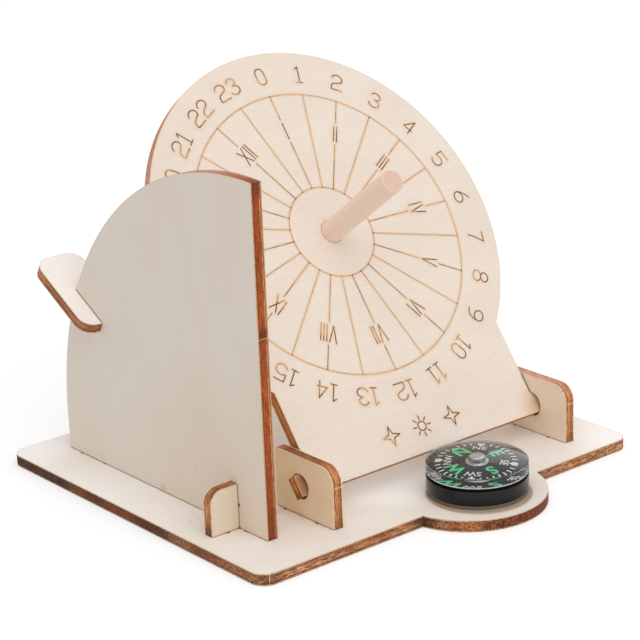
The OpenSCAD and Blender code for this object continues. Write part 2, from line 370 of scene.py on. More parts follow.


# One sheet of plywood: pale faces, burnt edges, scorched rims, and dark creases where it meets another,
# partly dark joints and partly painted shade
def plywood(name, sheet, look=None, engrave=None, bridges=(), places=(), dots=(), stainsAndPaintedLight=()):
    part = sheetFinish
    look = {**plywoodLook, **(look or {})}
    material, tree, shader = startMaterial(name)
    point = sheetPoint(tree, **sheet)
    along, across, through = put(tree, "ShaderNodeSeparateXYZ", {0: point}).outputs
    isFace = calc(tree, "GREATER_THAN", calc(tree, "ABSOLUTE", through), plyHalf - part["skin"])

    grain = point
    if look["faceTurn"]:
        turn = (0, 0, math.radians(look["faceTurn"]))
        grain = put(tree, "ShaderNodeMapping", {0: point, 2: turn}).outputs[0]
    face, faceHeight = facePaint(tree, grain, look)
    if engrave:
        distance, dark = engrave(tree, along, across)
        isBack = calc(tree, "LESS_THAN", through, 0)
        distance = calc(tree, "MULTIPLY_ADD", isBack, outOfReach, distance)
        face, faceHeight = burnLine(tree, point, face, faceHeight, distance, dark, look)
    # Stains, and patches of painted light and painted shade, on the faces
    for spotAlong, spotAcross, inner, outer, amount, paint in stainsAndPaintedLight:
        far = distanceTo(tree, along, across, spotAlong, spotAcross)
        face = tint(tree, fade(tree, far, outer, inner, 0, amount), face, look[paint])
    for dotAlong, dotAcross, size in dots:
        far = distanceTo(tree, along, across, dotAlong, dotAcross)
        dot = fade(tree, far, size, size * part["dotCore"], 0, part["dotDark"])
        face = tint(tree, dot, face, look["char"])
    streaks = noise(tree, point, **part["smokeStreaks"])
    smoke = times(tree, fade(tree, bend(tree, part["smokeReach"]), *part["smokeFade"]),
                  fade(tree, streaks, *part["smokeAmount"]))
    face = tint(tree, smoke, face, look["smoke"])
    face = tint(tree, fade(tree, bend(tree, part["rimReach"]), *part["rimFade"]), face, look["rim"])

    edge, edgeHeight = edgePaint(tree, point, along, across, through, look, places, bridges)
    colour = tint(tree, isFace, edge, face)
    # Painted shade: brown where the occlusion node finds another surface within reach, in the creases and
    # joints between parts
    clear = put(tree, "ShaderNodeAmbientOcclusion", {"Distance": part["creaseJointAndShadeReach"]}, samples=8)
    colour = tint(tree, fade(tree, clear.outputs["AO"], *part["creaseJointAndShadeFade"]), colour, look["creaseJointAndShade"])
    height = calc(tree, "MULTIPLY_ADD", isFace, minus(tree, faceHeight, edgeHeight), edgeHeight)
    roughness = fade(tree, isFace, 0, 1, part["edgeRoughness"], part["faceRoughness"])
    gloss = fade(tree, isFace, 0, 1, look["edgeGloss"], part["gloss"])
    finishWood(tree, shader, colour, height, roughness, gloss)
    return material


# The dial's engraved rings and its line for each hour, in mm
dialLines = {
    "outerRing": 38.66,
    "innerRing": 12.3,
    "gapStart": 25.6,
    "gapEnd": 31.7,
    "ringDark": 0.34,
    "ringFade": (0.6, 0.25),
    "evenDark": 0.66,
    "oddLighter": -0.3,
    "endFade": (0.6, 0.2),
}
hours = 24
hourStep = math.radians(360 / hours)


# Even hours' lines have a gap for the numeral
def dialEngraving(tree, along, across):
    part = dialLines
    radius = measure(tree, along, across)
    toRing = calc(tree, "MINIMUM", apart(tree, radius, part["outerRing"]),
                  apart(tree, radius, part["innerRing"]))
    angle = calc(tree, "ARCTAN2", along, across)
    hour = calc(tree, "ROUND", calc(tree, "DIVIDE", angle, hourStep))
    off = minus(tree, angle, times(tree, hour, hourStep))
    toSpoke = times(tree, radius, calc(tree, "ABSOLUTE", calc(tree, "SINE", off)))
    odd = calc(tree, "GREATER_THAN", calc(tree, "ABSOLUTE", calc(tree, "MODULO", hour, 2)), 0.5)
    outside = calc(tree, "MAXIMUM", minus(tree, radius, part["outerRing"]),
                   minus(tree, part["innerRing"], radius))
    middle = (part["gapStart"] + part["gapEnd"]) / 2
    halfGap = (part["gapEnd"] - part["gapStart"]) / 2
    inGap = minus(tree, halfGap, apart(tree, radius, middle))
    inGap = calc(tree, "MULTIPLY_ADD", odd, -outOfReach, inGap)
    beyond = calc(tree, "MAXIMUM", calc(tree, "MAXIMUM", outside, inGap), 0)
    toSpoke = measure(tree, toSpoke, beyond)
    toEnd = measure(tree, toRing, toSpoke)
    onRing = fade(tree, toRing, *part["ringFade"])
    dark = calc(tree, "MULTIPLY_ADD", odd, part["oddLighter"], part["evenDark"])
    dark = calc(tree, "MULTIPLY_ADD", onRing, minus(tree, part["ringDark"], dark), dark)
    dark = calc(tree, "MAXIMUM", dark, fade(tree, toEnd, *part["endFade"]))
    return calc(tree, "MINIMUM", toRing, toSpoke), dark


# The thin ring engraved round the compass
seatRing = {"centre": (7.3, -44.8), "radius": 12.4, "dark": 0.1}


def seatEngraving(tree, along, across):
    toCentre = distanceTo(tree, along, across, *seatRing["centre"])
    return apart(tree, toCentre, seatRing["radius"]), seatRing["dark"]


upright = {"along": (0, -1, 0), "out": (-1, 0, 0)}
clipAcross, clipHeight = clip["turnsAbout"]
clipSine, clipCosine = math.sin(clip["pitch"]), math.cos(clip["pitch"])
sheets = {
    "base_plate": {"origin": (0, 0, plyHalf), "along": (1, 0, 0), "out": (0, 0, 1)},
    "latitude_plate": {"origin": (plateMid, 0, 0), **upright},
    "side_foot": {"origin": (plateMid, footMid, 0), "along": (1, 0, 0), "out": (0, -1, 0)},
    "hinge_bracket_left": {"origin": (leftBracketMid, 0, 0), **upright},
    "hinge_bracket_right": {"origin": (rightBracketMid, 0, 0), **upright},
    "dial_plate": {"origin": dialCentre, "along": (1, 0, 0), "out": dialOut},
    "latitude_clip": {
        "origin": (plateMid, clipAcross + clip["drop"] * clipSine, clipHeight - clip["drop"] * clipCosine),
        "along": (0, clipCosine, clipSine),
        "out": (0, -clipSine, clipCosine),
    },
}

bracketLook = {
    "clouds": 0.6, "edge": rgb(242, 172, 114), "edgePale": rgb(250, 222, 184), "border": 1.0, "grit": 0.25,
    "mottle": 0.4,
    "plies": ((0.85, 0.16, 0.7, "edgeDark"), (0.25, 0.2, 0.6, "edgeLight"), (-0.3, 0.16, 0.45, "edgeDark"),
              (-0.8, 0.3, 0.6, "scorch")),
}
bracketFoot, bracketHole = (36.8, 3, 1, 4, 0.5, "char"), (24.7, 10.5, 3.4, 3.8, 0.9, "scorch")
bracketBridge = (36.8, 13.3, 0.4, 0.1)

# What each sheet has of its own, in its own mm along and across
# A place or stain is (along, across, full radius, outer radius, how strong, paint); the stains include
# patches of painted light and painted shade
# A dot is (along, across, radius), and a bridge (along, across, half length, half height)
plywoodExtras = {
    "base_plate": {
        "look": {
            "face": rgb(241, 232, 223), "faceDeep": rgb(234, 218, 205), "edge": rgb(192, 126, 86),
            "edgeLight": rgb(220, 176, 134), "darkPatch": rgb(168, 140, 116), "streakGrain": (0.12, 0.5, 2.0),
            "dashGrain": (0.4, 1.4, 2.4), "grit": 0.5, "mottle": 0.9, "edgeGloss": 0.1,
        },
        "engrave": seatEngraving,
        "bridges": [(-57.6, -45, 0.08, 0.4), (51.8, -45, 0.08, 0.4)],
        "places": [
            (-95, 2, 38, 56, 0.9, "scorch"), (-60, 60, 22, 36, 1.0, "char"), (-60, -4, 3, 13, 0.6, "char"),
            (-60, 22, 1, 8, 0.5, "char"), (-57, -45, 1, 4, 0.5, "char"), (7.5, -66, 16, 26, 0.95, "scorch"),
            (10, -62, 8, 16, 0.15, "char"), (-5.5, -55.5, 1, 4, 0.5, "gold"),
            (-60, -14, 2, 7, 0.25, "edgeLight"), (-10.6, -45, 1, 6, 0.8, "char"),
            (25.6, -45, 0.6, 4, 0.8, "char"),
        ],
        "dots": [
            (-32.1, -30.8, 0.65), (-32.1, -18.8, 0.6), (-47.1, -13.4, 0.7), (-47.1, 35.8, 0.5),
            (-47.1, 45.9, 0.55), (-50.6, -20.2, 0.65), (-46.9, -22.6, 0.7), (44.9, -30.8, 0.6),
            (44.9, -18.8, 0.5), (-53.15, -8.62, 0.22), (-53.6, -9.6, 0.16), (-49.6, -5.7, 0.2),
            (-55.2, -8.0, 0.14),
        ],
        "stainsAndPaintedLight": [
            # The pale patches are painted light: the base's far corners and the place under the dial's edge
            # made brighter
            (-78, 20, 10, 50, 0.9, "paintedPaleLight"), (-60, 62, 6, 26, 0.9, "paintedPaleLight"), (62, -48, 8, 26, 0.9, "paintedPaleLight"),
            # The brown ring round the compass is a painted shadow
            (-4, -24, 8, 20, 0.9, "paintedPaleLight"), (7.7, -44.1, 12.5, 13.4, 0.85, "darkPatch"),
        ],
    },
    "latitude_plate": {
        "look": {
            "face": rgb(231, 220, 208), "faceDeep": rgb(226, 210, 189), "faceTurn": 90, "clouds": 0.3,
            "dashes": 0.16, "edge": rgb(172, 80, 32), "edgeLight": rgb(192, 110, 54),
            "edgeDark": rgb(100, 44, 22), "edgePale": rgb(222, 174, 122), "streaks": 0.25, "patches": 0.35,
            "grit": 0.35, "mottle": 0.4,
            "plies": ((-0.95, 0.3, 0.7, "edgePale"), (0.95, 0.16, 0.5, "edgeDark")),
        },
        "bridges": [(30.8, 52.4, 0.4, 0.12)],
        "places": [
            (30.8, 0, 6, 26, 0.35, "char"), (30.8, 88.5, 1, 5, 0.5, "char"),
            # The pinkish place on the plate's top edge is a painted sheen
            (30.8, 53.4, 0.4, 2.2, 0.6, "char"), (-2, 90, 16, 28, 0.75, "paintedRoseSheen"),
        ],
        "dots": [(3.97, 13.13, 0.16), (3.33, 13.59, 0.14), (-17.8, 8.7, 0.12), (20.3, 9.0, 0.55)],
        "stainsAndPaintedLight": [(15, 5, 12, 45, 0.2, "smoke"), (-10.4, 3.9, 0.3, 1.8, 0.35, "gold")],
    },
    "side_foot": {
        "look": {
            "face": rgb(228, 213, 191), "faceDeep": rgb(221, 202, 173), "edge": rgb(220, 144, 88),
            "edgeDark": rgb(116, 52, 26), "edgePale": rgb(248, 214, 170), "border": 1.0, "grit": 0.3,
        },
        "places": [(-9.5, 3, 1, 4, 0.7, "char"), (-5, 14.5, 3, 7, 0.35, "scorch")],
    },
    "hinge_bracket_left": {
        "look": {
            # The face is warmer than the other sheets, partly its own tone and partly painted warm bounce
            # light from the plate beside it
            **bracketLook, "face": rgb(239, 214, 186), "faceDeep": rgb(234, 200, 162),
            "edgeDark": rgb(136, 70, 38),
        },
        "bridges": [bracketBridge],
        "places": [(24, 18, 5, 12, 0.75, "scorch"), bracketFoot, bracketHole],
        # The warm patch is painted bounce light in the gap between the plate and the bracket
        "stainsAndPaintedLight": [(17, 9, 3, 15, 1.0, "paintedBounceGlow"), (23, 3, 1, 6, 0.4, "smoke")],
    },
    "hinge_bracket_right": {
        "look": {
            **bracketLook, "face": rgb(244, 226, 203), "faceDeep": rgb(238, 212, 180),
            "creaseJointAndShade": rgb(140, 92, 62), "edgeDark": rgb(136, 74, 44),
        },
        "bridges": [bracketBridge],
        # The pinkish place on the bracket's top edge is a painted sheen
        "places": [(24, 19, 6, 13, 0.8, "paintedRoseSheen"), bracketFoot, bracketHole],
    },
    "dial_plate": {
        "engrave": dialEngraving,
        "look": {
            "edge": rgb(238, 154, 80), "edgeDark": rgb(122, 58, 26), "edgePale": rgb(252, 222, 180),
            "darkPatch": rgb(180, 124, 86), "creaseJointAndShade": rgb(164, 112, 76), "patches": 0.3, "grit": 0.2,
            "mottle": 0.4,
            "plies": ((0.7, 0.2, 0.75, "edgeDark"), (0.1, 0.25, 0.6, "edgeLight"),
                      (-0.45, 0.16, 0.7, "edgeDark"), (-0.9, 0.2, 0.5, "scorch")),
        },
        # The brown patch by the left tab is partly burn and partly painted shade, where the face is seen
        # through the bracket's hole
        "stainsAndPaintedLight": [(-40.4, -58.5, 2.0, 6.0, 0.95, "darkPatch"), (36.5, -60, 0, 7, 0.9, "smoke")],
        "places": [
            # The pinkish place on the dial's left edge is a painted sheen
            (-50, 6, 22, 34, 0.9, "paintedRoseSheen"), (-36.7, -23, 1, 7, 0.85, "scorch"),
            (-36.7, -23, 0.5, 4, 0.6, "char"), (-41.4, -61, 0.5, 3, 0.6, "char"),
            (-24, -60, 8, 18, 0.5, "scorch"), (20, -60, 8, 18, 0.5, "scorch"),
        ],
    },
    "latitude_clip": {
        "look": {
            # The clip's face is paler than the other sheets: painted light for its top, which is lit more
            # from above
            "face": rgb(253, 246, 240), "faceDeep": rgb(249, 238, 229), "edge": rgb(184, 112, 74),
            "dashes": 0.15, "streaks": 0.3, "mottle": 0.4, "grit": 0.25,
            "plies": ((-0.9, 0.35, 0.5, "edgeDark"), (0.3, 0.5, 0.3, "edgeLight")),
        },
        "places": [(-14, -7, 1, 6, 0.8, "scorch"), (0, -8, 1, 4, 0.7, "char")],
    },
}
for node, sheet in sheets.items():
    dress(node, plywood("plywood_" + node, sheet, **plywoodExtras[node]))
print("plywood dressed:", len(sheets), "sheets")


# Dowel, with its ends' places along it in mm from the dial's middle
dowelLook = {
    "wood": rgb(249, 227, 210),
    "woodDeep": rgb(230, 200, 179),
    "end": rgb(219, 183, 165),
    "frontEnd": 31.05,
    "backEnd": -28.4,
    "fibres": {"stretch": (0.12, 2.4, 2.4), "detail": 4.0, "roughness": 0.6},
    "pores": {"stretch": (0.5, 7.0, 7.0), "detail": 2.0},
    "rings": {"stretch": (2.5, 2.5, 2.5), "roughness": 0.7},
    "fibreFade": (0.4, 0.75, 0, 0.4),
    "poreFade": (0.54, 0.68, 0, 0.5),
    "ringFade": (0.35, 0.7, 0, 0.7),
    "rimFade": (2.4, 2.8, 0, 0.4),
    "fibreHeight": -1.0,
    "roughness": (0.55, 0.7),
    "bump": 0.4,
}


def dowelMaterial():
    look = dowelLook
    material, tree, shader = startMaterial("dowel_wood")
    point = sheetPoint(tree, dialCentre, dialOut, (1, 0, 0))
    along, across, through = put(tree, "ShaderNodeSeparateXYZ", {0: point}).outputs
    fibres, pores, rings = [noise(tree, point, **look[name]) for name in ("fibres", "pores", "rings")]
    side = tint(tree, fade(tree, fibres, *look["fibreFade"]), look["wood"], look["woodDeep"])
    side = tint(tree, fade(tree, pores, *look["poreFade"]), side, look["woodDeep"])
    end = tint(tree, fade(tree, rings, *look["ringFade"]), look["end"], look["woodDeep"])
    end = tint(tree, fade(tree, measure(tree, across, through), *look["rimFade"]), end, look["wood"])
    isEnd = calc(tree, "MAXIMUM", calc(tree, "GREATER_THAN", along, look["frontEnd"]),
                 calc(tree, "LESS_THAN", along, look["backEnd"]))
    height = calc(tree, "MULTIPLY_ADD", fibres, look["fibreHeight"], times(tree, rings, isEnd))
    roughness = fade(tree, fibres, 0, 1, *look["roughness"])
    finishWood(tree, shader, tint(tree, isEnd, side, end), height, roughness, bump=look["bump"])
    return material


dress("gnomon", dowelMaterial())
print("dowel dressed")


# Modelling steps that repeat
def add(primitive, **settings):
    bpy.ops.object.select_all(action="DESELECT")
    primitive(**settings)
    return bpy.context.object


def mode(name):
    bpy.ops.object.mode_set(mode=name)


# Numbers and marks that the laser drew as single strokes, in mm
def arc(x, y, rx, ry, start, end, steps=14):
    turns = [math.radians(start + (end - start) * i / steps) for i in range(steps + 1)]
    return [(x + rx * math.cos(t), y + ry * math.sin(t)) for t in turns]


# Each character has its width and its strokes
strokes = {
    "0": (2.6, [arc(0, 0.95, 1.3, 1.3, 0, 180) + arc(0, -0.95, 1.3, 1.3, 180, 360) + [(1.3, 0.95)]]),
    "1": (1.7, [[(-0.75, 1.5), (0.1, 2.25), (0.1, -2.25)], [(-0.8, -2.25), (0.9, -2.25)]]),
    "2": (3.2, [arc(0, 1.0, 1.5, 1.25, 170, -38)
                + [(-0.9, -0.45), (-1.45, -0.95), (-1.55, -1.5), (-1.55, -2.25), (1.55, -2.25)]]),
    "3": (3.1, [arc(0.05, 1.2, 1.3, 1.05, 165, -90), arc(0, -1.05, 1.55, 1.2, 88, -165)]),
    "4": (2.8, [[(1.3, -0.95), (-1.4, -0.95), (0.75, 2.25), (0.75, -2.25)]]),
    "5": (3.1, [[(1.4, 2.25), (-1.35, 2.25), (-1.45, 0.35)] + arc(0, -0.8, 1.55, 1.45, 128, -150)]),
    "6": (3.1, [[(0.75, 2.25), (-0.2, 1.5), (-1.1, 0.4), (-1.5, -0.6)]
                + arc(0, -0.95, 1.5, 1.3, 180, 540, 24)]),
    "7": (2.7, [[(-1.35, 2.25), (1.35, 2.25), (0.4, 0.3), (-0.1, -1.0), (-0.3, -2.25)]]),
    "8": (3.1, [arc(0, 1.15, 1.3, 1.1, 0, 360, 22), arc(0, -1.1, 1.5, 1.15, 0, 360, 22)]),
    "9": (3.1, [arc(0, 0.95, 1.5, 1.3, 0, 360, 24)
                + [(1.5, -0.2), (1.0, -1.4), (0.0, -2.1), (-0.9, -2.25)]]),
    "I": (0.1, [[(0, 2.25), (0, -2.25)]]),
    "V": (2.0, [[(-1.0, 2.25), (0, -2.25), (1.0, 2.25)]]),
    "X": (2.0, [[(-1.0, 2.25), (1.0, -2.25)], [(1.0, 2.25), (-1.0, -2.25)]]),
}
romans = ["I", "II", "III", "IV", "V", "VI", "VII", "VIII", "IX", "X", "XI", "XII"]


def spell(word, gap):  # the strokes of a word, centred on the origin
    width = sum(strokes[c][0] for c in word) + gap * (len(word) - 1)
    x, lines = -width / 2, []
    for c in word:
        wide, shapes = strokes[c]
        lines += [[(x + wide / 2 + px, py) for px, py in shape] for shape in shapes]
        x += wide + gap
    return lines


# For each point, the distance to the nearest stroke and to the nearest end of one
def strokeDistance(points, lines):
    best = np.full(len(points), float(outOfReach))
    tips = best.copy()
    for line in lines:
        line = np.array(line)
        for end in (line[0], line[-1]):
            tips = np.minimum(tips, np.hypot(*(points - end).T))
        for a, b in zip(line[:-1], line[1:]):
            run = b - a
            share = np.clip(((points - a) @ run) / max(run @ run, 1e-9), 0, 1)
            best = np.minimum(best, np.hypot(*(points - a - share[:, None] * run).T))
    return best, tips


engraving = {
    "cell": 0.13, "reach": 0.95, "lift": 0.02,
    "numberRadius": 44.45, "digitGap": 1.0,
    "numeralRadius": 28.75, "numeralGap": 0.75,
    "ornamentHeight": -54.2, "starApart": 10, "starRadii": (2.6, 0.85),
    "sunRadius": 1.2, "sunRay": (1.75, 2.7),
    "dark": 1.15,
    "tipDark": (0.55, 0.15, 0, 1.6),
    "core": (0.25, 0.07),
}


# A fine grid over the strokes that keeps, at each point, how far the nearest stroke is
def drawStrokes(name, lines, place):
    part = engraving
    points = np.array([p for line in lines for p in line])
    low, high = points.min(0) - part["reach"], points.max(0) + part["reach"]
    size = high - low
    columns, rows = int(size[0] / part["cell"]), int(size[1] / part["cell"])
    patch = add(bpy.ops.mesh.primitive_grid_add, x_subdivisions=columns, y_subdivisions=rows, size=1)
    patch.name = patch.data.name = name
    mode("EDIT")
    bpy.ops.transform.resize(value=(size[0], size[1], 1))
    bpy.ops.transform.translate(value=(*((low + high) / 2), 0))
    mode("OBJECT")
    flat = np.array([v.co[:2] for v in patch.data.vertices])
    toStroke, toTip = strokeDistance(flat, lines)
    for label, values in (("toStroke", toStroke), ("toTip", toTip)):
        kept = patch.data.attributes.new(label, "FLOAT", "POINT")
        kept.data.foreach_set("value", values.astype(np.float32))
    mode("EDIT")
    bpy.ops.mesh.select_mode(type="VERT")
    bpy.ops.mesh.select_all(action="DESELECT")
    mode("OBJECT")
    for vertex, far in zip(patch.data.vertices, toStroke > part["reach"]):
        vertex.select = bool(far)
    mode("EDIT")
    bpy.ops.mesh.delete(type="VERT")
    mode("OBJECT")
    patch.data.transform(place)
    return patch


def joinAs(name, pieces):
    bpy.ops.object.select_all(action="DESELECT")
    for piece in pieces:
        piece.select_set(True)
    bpy.context.view_layer.objects.active = pieces[0]
    bpy.ops.object.join()
    joined = bpy.context.object
    joined.name = joined.data.name = name
    return joined


def engravedMaterial():
    part = engraving
    material, tree, shader = startMaterial("engraved_strokes")
    point = sheetPoint(tree, **sheets["dial_plate"])
    face, height = facePaint(tree, point, plywoodLook)
    toStroke = put(tree, "ShaderNodeAttribute", attribute_name="toStroke").outputs["Fac"]
    toTip = put(tree, "ShaderNodeAttribute", attribute_name="toTip").outputs["Fac"]
    dark = calc(tree, "MAXIMUM", part["dark"], fade(tree, toTip, *part["tipDark"]))
    colour, height = burnLine(tree, point, face, height, toStroke, dark, plywoodLook, part["core"])
    finishWood(tree, shader, colour, height, sheetFinish["faceRoughness"])
    return material


def spin(radius, turns):  # a point at a radius, turned clockwise from the top by a share of a full turn
    return radius * math.sin(2 * math.pi * turns), radius * math.cos(2 * math.pi * turns)


def stemOrnament():  # a star, a sun and a star
    part = engraving
    star = [spin(radius, i / 8) for i, radius in enumerate(part["starRadii"] * 4)]
    star.append(star[0])
    sun = [arc(0, 0, part["sunRadius"], part["sunRadius"], 0, 360, 24)]
    sun += [[spin(radius, i / 8) for radius in part["sunRay"]] for i in range(8)]
    return [[(x + side * part["starApart"], y) for x, y in star] for side in (-1, 1)] + sun


# The dial's front face, in mm: its origin at the dial's middle, with y up the dial
frontMiddle = dialCentre + dialOut * (plyHalf + engraving["lift"])
dialAxes = Matrix((Vector((1, 0, 0)), dialUp, dialOut)).transposed().to_4x4()
dialFrame = Matrix.Translation(frontMiddle * mm) @ dialAxes @ Matrix.Scale(mm, 4)


def dialMarks():
    part = engraving
    material = engravedMaterial()
    numbers, numerals = [], []
    for hour in range(hours):
        turn = dialFrame @ Matrix.Rotation(-hourStep * hour, 4, "Z")
        place = turn @ Matrix.Translation((0, part["numberRadius"], 0))
        numbers.append(drawStrokes("number", spell(str(hour), part["digitGap"]), place))
        if hour % 2 == 0:
            place = turn @ Matrix.Translation((0, part["numeralRadius"], 0))
            numerals.append(drawStrokes("numeral", spell(romans[hour // 2], part["numeralGap"]), place))
    below = dialFrame @ Matrix.Translation((0, part["ornamentHeight"], 0))
    stem = drawStrokes("stem_ornament", stemOrnament(), below)
    for piece in (joinAs("hour_numbers", numbers), joinAs("double_hour_numerals", numerals), stem):
        piece.data.materials.append(material)
        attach(piece, "dial")


dialMarks()
print("dial engraved")


# Turned pieces of the compass
# A profile of (radius, height) in mm, drawn point by point and screwed once round the compass's axis
def turned(name, profile, steps=128, sharp=35, merge=0.0005):
    piece = add(bpy.ops.mesh.primitive_plane_add, size=1)
    piece.name = piece.data.name = name
    mode("EDIT")
    bpy.ops.mesh.select_all(action="SELECT")
    bpy.ops.mesh.merge(type="CENTER")
    here = (0, 0)
    for count, (radius, height) in enumerate(profile):
        step = (radius - here[0], 0, height - here[1])
        if count == 0:
            bpy.ops.transform.translate(value=step)
        else:
            bpy.ops.mesh.extrude_vertices_move(TRANSFORM_OT_translate={"value": step})
        here = (radius, height)
    mode("OBJECT")
    screw = piece.modifiers.new("round", "SCREW")
    screw.steps = screw.render_steps = steps
    screw.use_merge_vertices = True
    screw.merge_threshold = merge
    bpy.ops.object.modifier_apply(modifier=screw.name)
    mode("EDIT")
    bpy.ops.mesh.select_all(action="SELECT")
    bpy.ops.mesh.remove_doubles(threshold=merge)
    bpy.ops.mesh.normals_make_consistent(inside=False)
    mode("OBJECT")
    piece.data.transform(Matrix.Translation(compassCentre * mm) @ Matrix.Scale(mm, 4))
    bpy.ops.object.shade_smooth_by_angle(angle=math.radians(sharp))
    return piece


def roundCorner(x, y, radius, start, end, steps=8):
    return arc(x, y, radius, radius, start, end, steps)


# Moulded plastic, with scuffs that are a little paler and rougher
scuffed = {
    "scuffs": {"scale": 700.0},
    "paler": (1.3, 0.002),
    "paleFade": (0.4, 0.75, 0, 0.5),
    "roughFade": (0.35, 0.8),
    "rougher": 1.4,
}


def plasticMaterial(name, colour, roughness, gloss):
    look = scuffed
    material, tree, shader = startMaterial(name)
    scuffs = noise(tree, objectPoint(tree), **look["scuffs"])
    share, more = look["paler"]
    paler = tuple(min(1, c * share + more) for c in colour[:3]) + (1,)
    worn = fade(tree, scuffs, *look["roughFade"], roughness, roughness * look["rougher"])
    feed(shader, {"Base Color": tint(tree, fade(tree, scuffs, *look["paleFade"]), colour, paler),
                  "Roughness": worn, "Specular IOR Level": gloss})
    return material


# Clear plastic, with a faint ripple
rippled = {"ripple": {"detail": 1.0, "scale": 120.0}, "bump": 0.03, "bumpDistance": 0.0001}


def clearMaterial(name, colour, roughness, ior, clearness=1.0):
    look = rippled
    material, tree, shader = startMaterial(name)
    ripple = noise(tree, objectPoint(tree), **look["ripple"])
    feed(shader, {"Normal": bumped(tree, ripple, look["bump"], look["bumpDistance"]),
                  "Base Color": colour, "Roughness": roughness, "Transmission Weight": clearness,
                  "IOR": ior})
    return material


# Turned metal, with fine upright brush marks and duller stains
brushed = {
    "brush": {"stretch": (1, 1, 0.2), "scale": 1200.0},
    "darkPatch": {"detail": 2.0, "scale": 500.0},
    "duller": 0.72,
    "stainFade": (0.4, 0.75, 0, 0.5),
    "roughFade": (0.3, 0.75),
    "roughShare": (0.7, 1.4),
    "bump": 0.2,
    "bumpDistance": 0.00006,
}


def metalMaterial(name, colour, roughness):
    look = brushed
    material, tree, shader = startMaterial(name)
    coords = objectPoint(tree)
    brush, darkPatch = [noise(tree, coords, **look[kind]) for kind in ("brush", "darkPatch")]
    duller = tuple(c * look["duller"] for c in colour[:3]) + (1,)
    smooth, rough = [roughness * share for share in look["roughShare"]]
    feed(shader, {"Base Color": tint(tree, fade(tree, darkPatch, *look["stainFade"]), colour, duller),
                  "Roughness": fade(tree, brush, *look["roughFade"], smooth, rough),
                  "Normal": bumped(tree, brush, look["bump"], look["bumpDistance"]),
                  "Metallic": 1.0})
    return material


# The compass's sizes in mm, with heights from the base's underside
compassSize = {
    "caseFoot": 3.9, "floor": 4.9, "lipFoot": 7.6, "caseTop": 8.5, "cardTop": 7.3, "lidTop": 13.0,
    "outer": 12.5, "lip": 12.2, "bore": 11.5, "caseRound": 0.45, "shoulderRound": 0.16,
    "lipLap": 0.2, "lipWall": 0.25, "lipDeep": 0.05, "lipBelow": 0.03,
    "domeRadius": 39.8, "domeRound": 0.45, "domeSteps": 16,
    "lidGap": 0.04, "lidSunk": 0.1, "lidLap": 0.12, "lidRound": 0.12,
}


def makeCase():
    s = compassSize
    foot, top, corner, shoulder = s["caseFoot"], s["caseTop"], s["caseRound"], s["shoulderRound"]
    inner = s["lip"] - s["lipLap"]
    profile = [(0, foot), (s["outer"] - corner, foot)]
    profile += roundCorner(s["outer"] - corner, foot + corner, corner, -90, 0)
    profile += roundCorner(s["outer"] - shoulder, s["lipFoot"] - shoulder, shoulder, 0, 90, 5)
    profile += [(inner, s["lipFoot"]), (inner, top), (s["bore"], top)]
    profile += [(s["bore"], s["floor"]), (0, s["floor"])]
    case = turned("compass_cup", profile)
    case.data.materials.append(plasticMaterial("black_case", rgb(14, 14, 18), 0.16, 0.28))
    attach(case, "base")
    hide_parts("compass_case")

    low, high, wall = s["lipFoot"] - s["lipDeep"], top - s["lipBelow"], s["lip"] - s["lipWall"]
    profile = [(wall, low), (s["lip"], low), (s["lip"], high), (wall, high), (wall, low)]
    lip = turned("compass_case_lip", profile)
    lip.data.materials.append(plasticMaterial("black_lip", rgb(12, 12, 13), 0.6, 0.04))
    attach(lip, "base")


# The white ring between the case and the lid, a painted highlight for the bright arc at the lid's foot, in mm
# from the lid's foot at its rim
highlightRingProfile = [(-0.3, -0.1), (-0.06, -0.1), (-0.01, 0), (-0.03, 0.07), (-0.3, 0.02), (-0.3, -0.1)]


# The lid and the clear oil under it as one body of clear stuff, sunk into the black case
def makeLid():
    s = compassSize
    rim, dome, edge, corner = s["outer"], s["domeRadius"], s["domeRound"], s["lidRound"]
    domeCentre = s["lidTop"] - dome
    meet = math.asin((rim - edge) / (dome - edge))
    foot, bottom, bore = s["caseTop"] + s["lidGap"], s["floor"] - s["lidSunk"], s["bore"] + s["lidLap"]
    profile = [(0, bottom), (bore, bottom), (bore, foot)]
    profile += roundCorner(rim - corner, foot + corner, corner, -90, 0, 5)
    x, z = (dome - edge) * math.sin(meet), domeCentre + (dome - edge) * math.cos(meet)
    profile += roundCorner(x, z, edge, 0, 90 - math.degrees(meet))
    turns = [meet * (1 - i / s["domeSteps"]) for i in range(1, s["domeSteps"] + 1)]
    profile += [(dome * math.sin(t), domeCentre + dome * math.cos(t)) for t in turns]
    lid = turned("compass_clear_cap", profile)
    lid.data.materials.append(clearMaterial("clear_cap", (0.98, 0.99, 0.99, 1), 0.0, 1.47))
    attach(lid, "base")
    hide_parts("compass_lid")

    # A white ring at the lid's foot, a painted highlight
    seam = turned("compass_lid_highlight_ring", [(rim + x, foot + z) for x, z in highlightRingProfile])
    seam.data.materials.append(plasticMaterial("painted_highlight_white", rgb(205, 205, 205), 0.35, 0.5))
    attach(seam, "base")


# The metal knob in the card's middle, in mm, with heights from the card's top
# Its profile runs up from the seat, and each rounding has its centre and radius
hubSize = {
    "seat": [(0, -0.9), (0.95, -1.4), (1.8, -1.4), (1.8, 0.005), (2.5, 0.005), (2.6, 0.1)],
    "flangeRound": (2.45, 0.2, 0.15),
    "waist": [(2.1, 0.35), (1.98, 0.47)],
    "knobRound": (1.68, 2.7, 0.3),
    "dish": [(0.9, 3.0), (0.75, 2.86), (0, 2.86)],
}


